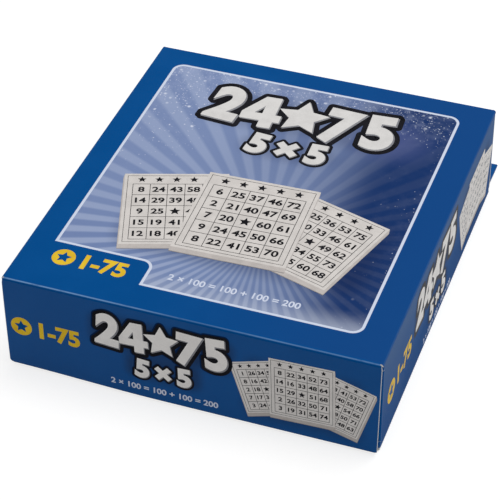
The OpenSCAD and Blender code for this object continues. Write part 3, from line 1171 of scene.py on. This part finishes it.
def lay_numerals(page, text, u, v, wide, height, squeeze, glow):
    """A line of large digits, wide and high in millimetres. A * is a star."""
    pitch, shift = wide / len(text), 0.03 * height
    for i, sign in enumerate(text):
        x, y = u + (i - (len(text) - 1) / 2) * pitch, v + LIFTS[i % 5] * height
        turn = TILTS[i % 5]

        def shape(dx=0.0, dy=0.0, more=0.0):
            if sign == "*":
                return star_shape(x + dx, y + dy, height * (0.56 + more), turn, 0.5)
            if sign == "4":
                return placed(*FOUR, x + dx, y + dy, height * (1.06 + more), turn, squeeze)
            return numerals(sign, x + dx, y + dy, height, turn, BOLD + more, squeeze, 8)

        base = 1
        if glow:
            page.lay("deep", 1, *grown(shape(), height * 0.15))
            base = 2
        page.lay("black", base, *grown(shape(), height * 0.105),
                 *grown(shape(shift * 1.4, -shift * 1.4), height * 0.1))
        page.lay("grey", base + 1, shape(shift * 0.95, -shift * 0.95, 0.004))
        page.lay("white" if glow else "chalk", base + 2, shape(0, 0, -0.004))


def lay_yellow(page, u, v, height):
    """A yellow ball with a star, and numerals beside it."""
    ball = (u - 1.75 * height, v)
    page.lay("yellow", 1, disc_shape(*ball, height * 0.62),
             numerals("1-75", u + 0.5 * height, v, height, 0, 0.04))
    page.lay("blue", 2, star_shape(*ball, height * 0.42, 0, 0.5))


# %% [markdown]
# Each face has a place of its own, which runs across and up from the middle of the top,
# or from the middle of the carton's upper edge, and reads upright to someone who looks
# straight at it. Numbers below give each thing's place on its face and its size.

# %% What stands on a face


def lay_face(page, glow, large, second, yellow, small, cards, drop, inks):
    """Two lines of large numerals, the yellow sign, a line of sums and three cards."""
    lay_numerals(page, "24*75", *large, glow)
    lay_numerals(page, "5×5", *second, glow)
    lay_yellow(page, *yellow)
    u, v, height, bold, squeeze = small
    page.lay("pale", 1, numerals("2 × 100 = 100 + 100 = 200", u, v, height, 0, bold, squeeze, 5))
    for i, card in enumerate(cards):
        lay_card(page, 1 + 2 * i, *card, drop, inks)


TOP_FACE = (
    False, (0, 35.2, 57.5, 14.2, 0.9), (0.5, 19.8, 26, 8.2, 1.0), (-30.5, -44.6, 5.2),
    (7.5, -42.9, 2.2, 0.022, 1.02),
    [(-19.5, -15.5, 29, 19, 11), (20.0, -16.0, 29, -17, 23), (0.5, -13.5, 32, 2, 47)],
    2.0, ("sheet", "black", "black"))
END_FACE = (
    True, (-7.2, -9.7, 37.5, 9.1, 0.96), (-6.8, -19.9, 17.5, 5.4, 1.05), (-38.6, -15.6, 4.9),
    (-6.6, -26.3, 1.7, 0.028, 1.1),
    [(21.5, -16.0, 15.6, 18, 31), (41.0, -16.2, 15.6, -16, 59), (31.2, -15.0, 17.6, 2, 83)],
    1.2, ("leaf", "black", "black"))
SIDE_FACE = (
    True, (-4.4, -11.4, 40.5, 10.4, 0.92), (-2.0, -22.6, 18, 5.4, 1.05), (-38.0, -17.2, 5.6),
    (-2.0, -27.9, 1.5, 0.028, 1.15),
    [(28.8, -16.4, 14.8, 18, 37), (46.4, -16.6, 14.8, -16, 61), (37.6, -15.2, 17.0, 2, 89)],
    1.2, ("white", "edge", "grey"))

# %% Print on all faces
middle = TUBE["top"][0] + HALF_W - FOLD_R
right_top, left_top = TUBE["right"][0] - FOLD_R, TUBE["left"][1] + FOLD_R
front_top, rear_top = FRONT["closure"][0] - TANGENT, REAR["closure"][0] - TANGENT
for name, body, place, u_cuts, v_cuts, face in (
        ("top", "carton", lambda x, y: tube_shape(middle + x, y),
         [a - middle for a in TOP_U], TOP_V, TOP_FACE),
        ("front", "front_closure", lambda x, up: front_shape(x, front_top - up), END_U,
         [front_top - a for a in even_steps(*FRONT["closure"], CLOSURE_STEP)], END_FACE),
        ("rear", "rear_closure", lambda x, up: rear_shape(-x, rear_top - up), END_U,
         [rear_top - a for a in even_steps(*REAR["closure"], CLOSURE_STEP)], END_FACE),
        ("right", "carton", lambda y, up: tube_shape(right_top - up, y), SIDE_V,
         [right_top - a for a in even_steps(*TUBE["right"], SIDE_STEP)], SIDE_FACE),
        ("left", "carton", lambda y, up: tube_shape(left_top + up, -y), SIDE_V,
         [a - left_top for a in even_steps(*TUBE["left"], SIDE_STEP)], SIDE_FACE)):
    page = Page(f"{name}_print", body, place, u_cuts, v_cuts)
    lay_face(page, *face)
    page.press()

# %% [markdown]
# ## The pads
#
# A pad is a hundred loose sheets held by a film of glue along the rear edge, on grey
# board. Cut in a guillotine the block is nearly flush, but no two sheets are quite in
# line, and that is what makes paper look like paper from the side. So every sheet under
# the top one is a slab of its own, drawn in by up to a sixth of a millimetre.

# %% Paper, grey board and glue


def paper():
    f = Finish("sheet paper")
    cloud, grain = f.noise(12, 3), f.noise(0.25, 4)
    colour = f.mix(cloud.rise(0.35, 0.7), paint(240, 238, 232), paint(232, 229, 221))
    colour = f.mix(grain.rise(0.5, 0.75) * 0.3, colour, paint(216, 212, 203))
    return f.done(colour, grain * 0.1 + 0.78, grain, 0.006, 0.2)


def block_paper():
    f = Finish("cut edges of the sheets")
    line = f.noise(0.12, 3, (0.06, 0.06, 1.0))
    cloud = f.noise(6, 3, (0.4, 0.4, 1.4))
    colour = f.mix(line.rise(0.35, 0.65), paint(212, 208, 200), paint(242, 240, 235))
    colour = f.mix(cloud.rise(0.5, 0.8) * 0.35, colour, paint(206, 200, 188))
    return f.done(colour, line * 0.1 + 0.8, line, 0.01, 0.15)


def grey_board():
    f = Finish("grey backing board")
    strands, cloud = fibres(f, 0.7), f.noise(5, 4)
    colour = f.mix(strands.rise(0.35, 0.65), paint(120, 117, 108), paint(148, 144, 134))
    colour = f.mix(f.noise(0.5, 2, (0.4, 1.8, 1.0)).rise(0.68, 0.75) * 0.6, colour,
                   paint(84, 80, 74))
    colour = f.mix(cloud.rise(0.4, 0.8) * 0.3, colour, paint(130, 124, 108))
    return f.done(colour, strands * 0.1 + 0.84, strands, 0.03, 0.15)


def glue():
    f = Finish("padding glue")
    cloud, ridge = f.noise(7, 3), f.noise(0.5, 3, (0.2, 1.0, 1.0))
    colour = f.mix(cloud.rise(0.2, 0.85), paint(232, 225, 204), paint(224, 215, 190))
    colour = f.mix(ridge.rise(0.5, 0.8) * 0.25, colour, paint(240, 236, 222))
    return f.done(colour, cloud * 0.2 + 0.3, ridge * 0.8 + cloud * 0.2, 0.04, 0.4)


PAPER, BLOCK, GREY, GLUE = paper(), block_paper(), grey_board(), glue()
print("finishes:", [look.name for look in (PAPER, BLOCK, GREY, GLUE)])


def wear_node(node, look):
    """Puts a finish on a solid of the frame that already has its right shape."""
    solid = frame["nodes"][node]
    for held in solid.material_slots:
        held.link = "OBJECT"
        held.material = look


for pad in ("lower", "upper"):
    wear_node(f"{pad}_backing", GREY)
    wear_node(f"{pad}_glue", GLUE)
    wear_node(f"{pad}_top_sheet", PAPER)

# %% Sheets of a pad
SHEETS = 99  # under each top sheet


def sheet_block(pad, seed):
    """Slabs of paper in the place of the pad's block."""
    low, high = (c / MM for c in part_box(f"{pad}_sheets"))
    chance, bm = random.Random(seed), bmesh.new()
    thick = (high.z - low.z) / SHEETS
    for i in range(SHEETS):
        left, right, front = (chance.uniform(0, most) for most in (0.14, 0.14, 0.16))
        ring = [bm.verts.new(Vector((x, y, low.z + (i + z) * thick)) * MM) for z in (0, 0.94)
                for x, y in oblong(low.x + left, high.x - right, low.y + front, high.y - 0.004)]
        for f in ((3, 2, 1, 0), (4, 5, 6, 7), (0, 1, 5, 4), (1, 2, 6, 5), (2, 3, 7, 6),
                  (3, 0, 4, 7)):
            bm.faces.new([ring[j] for j in f])
    show(f"{pad}_sheet_block", bm, [BLOCK], f"{pad}_pad", f"{pad}_sheets")
    print(f"{pad} pad: {SHEETS} sheets of {thick:.3f} mm")


sheet_block("lower", 5)
sheet_block("upper", 6)

# %% [markdown]
# The top sheet of each pad is printed with a number grid in a single dark ink, which
# fills most of the sheet. Its ink lies about a hundredth of a millimetre above the paper.

# %% Print on the sheets
page_ink = ink("grid ink", (30, 30, 36), (52, 52, 60), 0.6)


def print_sheet(pad, body, seed):
    low, high = (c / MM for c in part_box(f"{pad}_top_sheet"))
    cell, thin = 16.5, 0.35
    middle = (low.y + high.y) / 2 - 4
    shapes = []
    for i in range(6):
        at = (i - 2.5) * cell
        shapes += [oblong_shape(at, middle, thin, 5 * cell + thin),
                   oblong_shape(0, middle + at, 5 * cell + thin, thin)]
    for col, numbers in enumerate(card_numbers(seed)):
        x = (col - 2) * cell
        shapes.append(star_shape(x, middle + 3 * cell - 1.6, 3.0))
        for row, number in enumerate(numbers):
            y = middle + (2 - row) * cell
            shapes.append(star_shape(x, y, 5.4) if row == col == 2
                          else numerals(str(number), x, y, 7.4, detail=6))
    bm = bmesh.new()
    for points, faces in shapes:
        fill(bm, points, faces, high.z + 0.012, scale=MM)
    show(f"{pad}_grid_print", bm, [page_ink], body)
    print(f"{pad} pad's grid: {len(shapes)} shapes of ink")


print_sheet("lower", "lower_pad", 71)
print_sheet("upper", "upper_sheet", 72)

# %% [markdown]
# ## Table, light and camera
#
# The carton stands on a white table. The table is a plain pale floor that the camera
# sees as white wherever no shadow falls on it: part of its light is its own, shown only
# to the camera and in reflections, and the rest is what the lamps leave on it, so the
# carton's shadow stays. Far off, where the lamps are weak, more of the light is its own.
# The lamps are large and soft, the strongest above and behind, a weaker one at the right
# and a faint one in front, and the world fills in evenly.

# %% Table
WHITE = (1, 1, 1, 1)
UNDER = 0.02  # the table lies this far under the carton


def seen(nodes):
    """1 for the camera's rays, reflections and things seen through glass, else 0."""
    path = nodes.add("LightPath").outputs
    camera, glossy, through = (Reading(nodes, path[f"Is {way} Ray"])
                               for way in ("Camera", "Glossy", "Transmission"))
    return camera.most(glossy).most(through)


def table_top():
    f = Finish("white table")
    grain, shown = f.noise(60, 3), seen(f)
    plain = f.mix(grain.rise(0.3, 0.7), (0.52, 0.52, 0.52, 1), (0.53, 0.53, 0.53, 1))
    f.done(f.mix(shown, plain, (0.36, 0.36, 0.36, 1)), grain * 0.05 + 0.9, None, 0, 0.0)
    f.shader.inputs["Emission Color"].default_value = WHITE
    away = (f.x * f.x + f.y * f.y).do("SQRT").rise(200, 1500)
    f.feed(f.shader.inputs["Emission Strength"], shown * (away * 0.25 + 0.75))
    return f.holder


floor_shape = bmesh.new()
fill(floor_shape, oblong(-6, 6, -6, 6), [[0, 1, 2, 3]], 0)
floor = show("table", floor_shape, [table_top()])
floor.location.z = -UNDER * MM
floor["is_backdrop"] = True
print("table:", UNDER, "mm under the carton")

# %% World and lamps
FILL = 0.42  # how strongly the room lights things, and 1 is how it is seen and reflected
world = bpy.data.worlds.new("soft room")
bpy.context.scene.world = world
room = Nodes(world, "Background")
room.shader.inputs["Color"].default_value = WHITE
room.feed(room.shader.inputs["Strength"], seen(room) * (1 - FILL) + FILL)
for name, place, size, power in (("overhead", (0.25, 0.40, 1.3), 0.9, 9.2),
                                 ("right side", (1.2, -0.1, 0.7), 0.7, 2.2),
                                 ("front fill", (-0.5, -1.4, 0.5), 0.8, 1.2)):
    light = bpy.data.lights.new(name, "AREA")
    light.shape, light.size, light.energy = "DISK", size, power
    lamp = show(name, light)
    lamp.location = place
    lamp.rotation_mode = "QUATERNION"
    lamp.rotation_quaternion = (-Vector(place)).to_track_quat("-Z", "Y")
    print(f"lamp {name}: {power} W, {size} m across")

# %% [markdown]
# The camera stands where the photograph was taken: a long lens, twenty degrees to the
# right of the front and forty above, turned by less than a degree. Its place was found by
# fitting the carton's corners, so it is written as numbers.

# %% Camera
EYE, LENS, SENSOR = (0.13936, -0.3903, 0.3516), 137.2, 36
azimuth, elevation, roll = math.radians(20.12), math.radians(39.62), math.radians(-0.727)
forward = Vector((-math.sin(azimuth) * math.cos(elevation),
                  math.cos(azimuth) * math.cos(elevation), -math.sin(elevation)))
level_right = Vector((math.cos(azimuth), math.sin(azimuth), 0))
level_up = level_right.cross(forward)
right = level_right * math.cos(roll) + level_up * math.sin(roll)
up = level_up * math.cos(roll) - level_right * math.sin(roll)
camera_data = bpy.data.cameras.new("camera")
camera_data.lens, camera_data.sensor_width = LENS, SENSOR
camera_data.clip_start, camera_data.clip_end = 0.05, 20
camera = show("camera", camera_data)
print("distance to the carton, m:", round(Vector(EYE).length, 3))
turned = Matrix((right, up, -forward)).transposed().to_4x4()
camera.matrix_world = Matrix.Translation(EYE) @ turned
bpy.context.scene.camera = camera
bpy.context.scene.view_settings.view_transform = "Standard"

# %% Sizes of the frame and of the dressed carton
low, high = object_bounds()
{"cad": [list(cad_low), list(cad_high)], "visual": [list(low), list(high)]}
print("frame, mm:", [round(c / MM, 3) for c in (*cad_low, *cad_high)])
print("dressed, mm:", [round(c / MM, 3) for c in (*low, *high)])
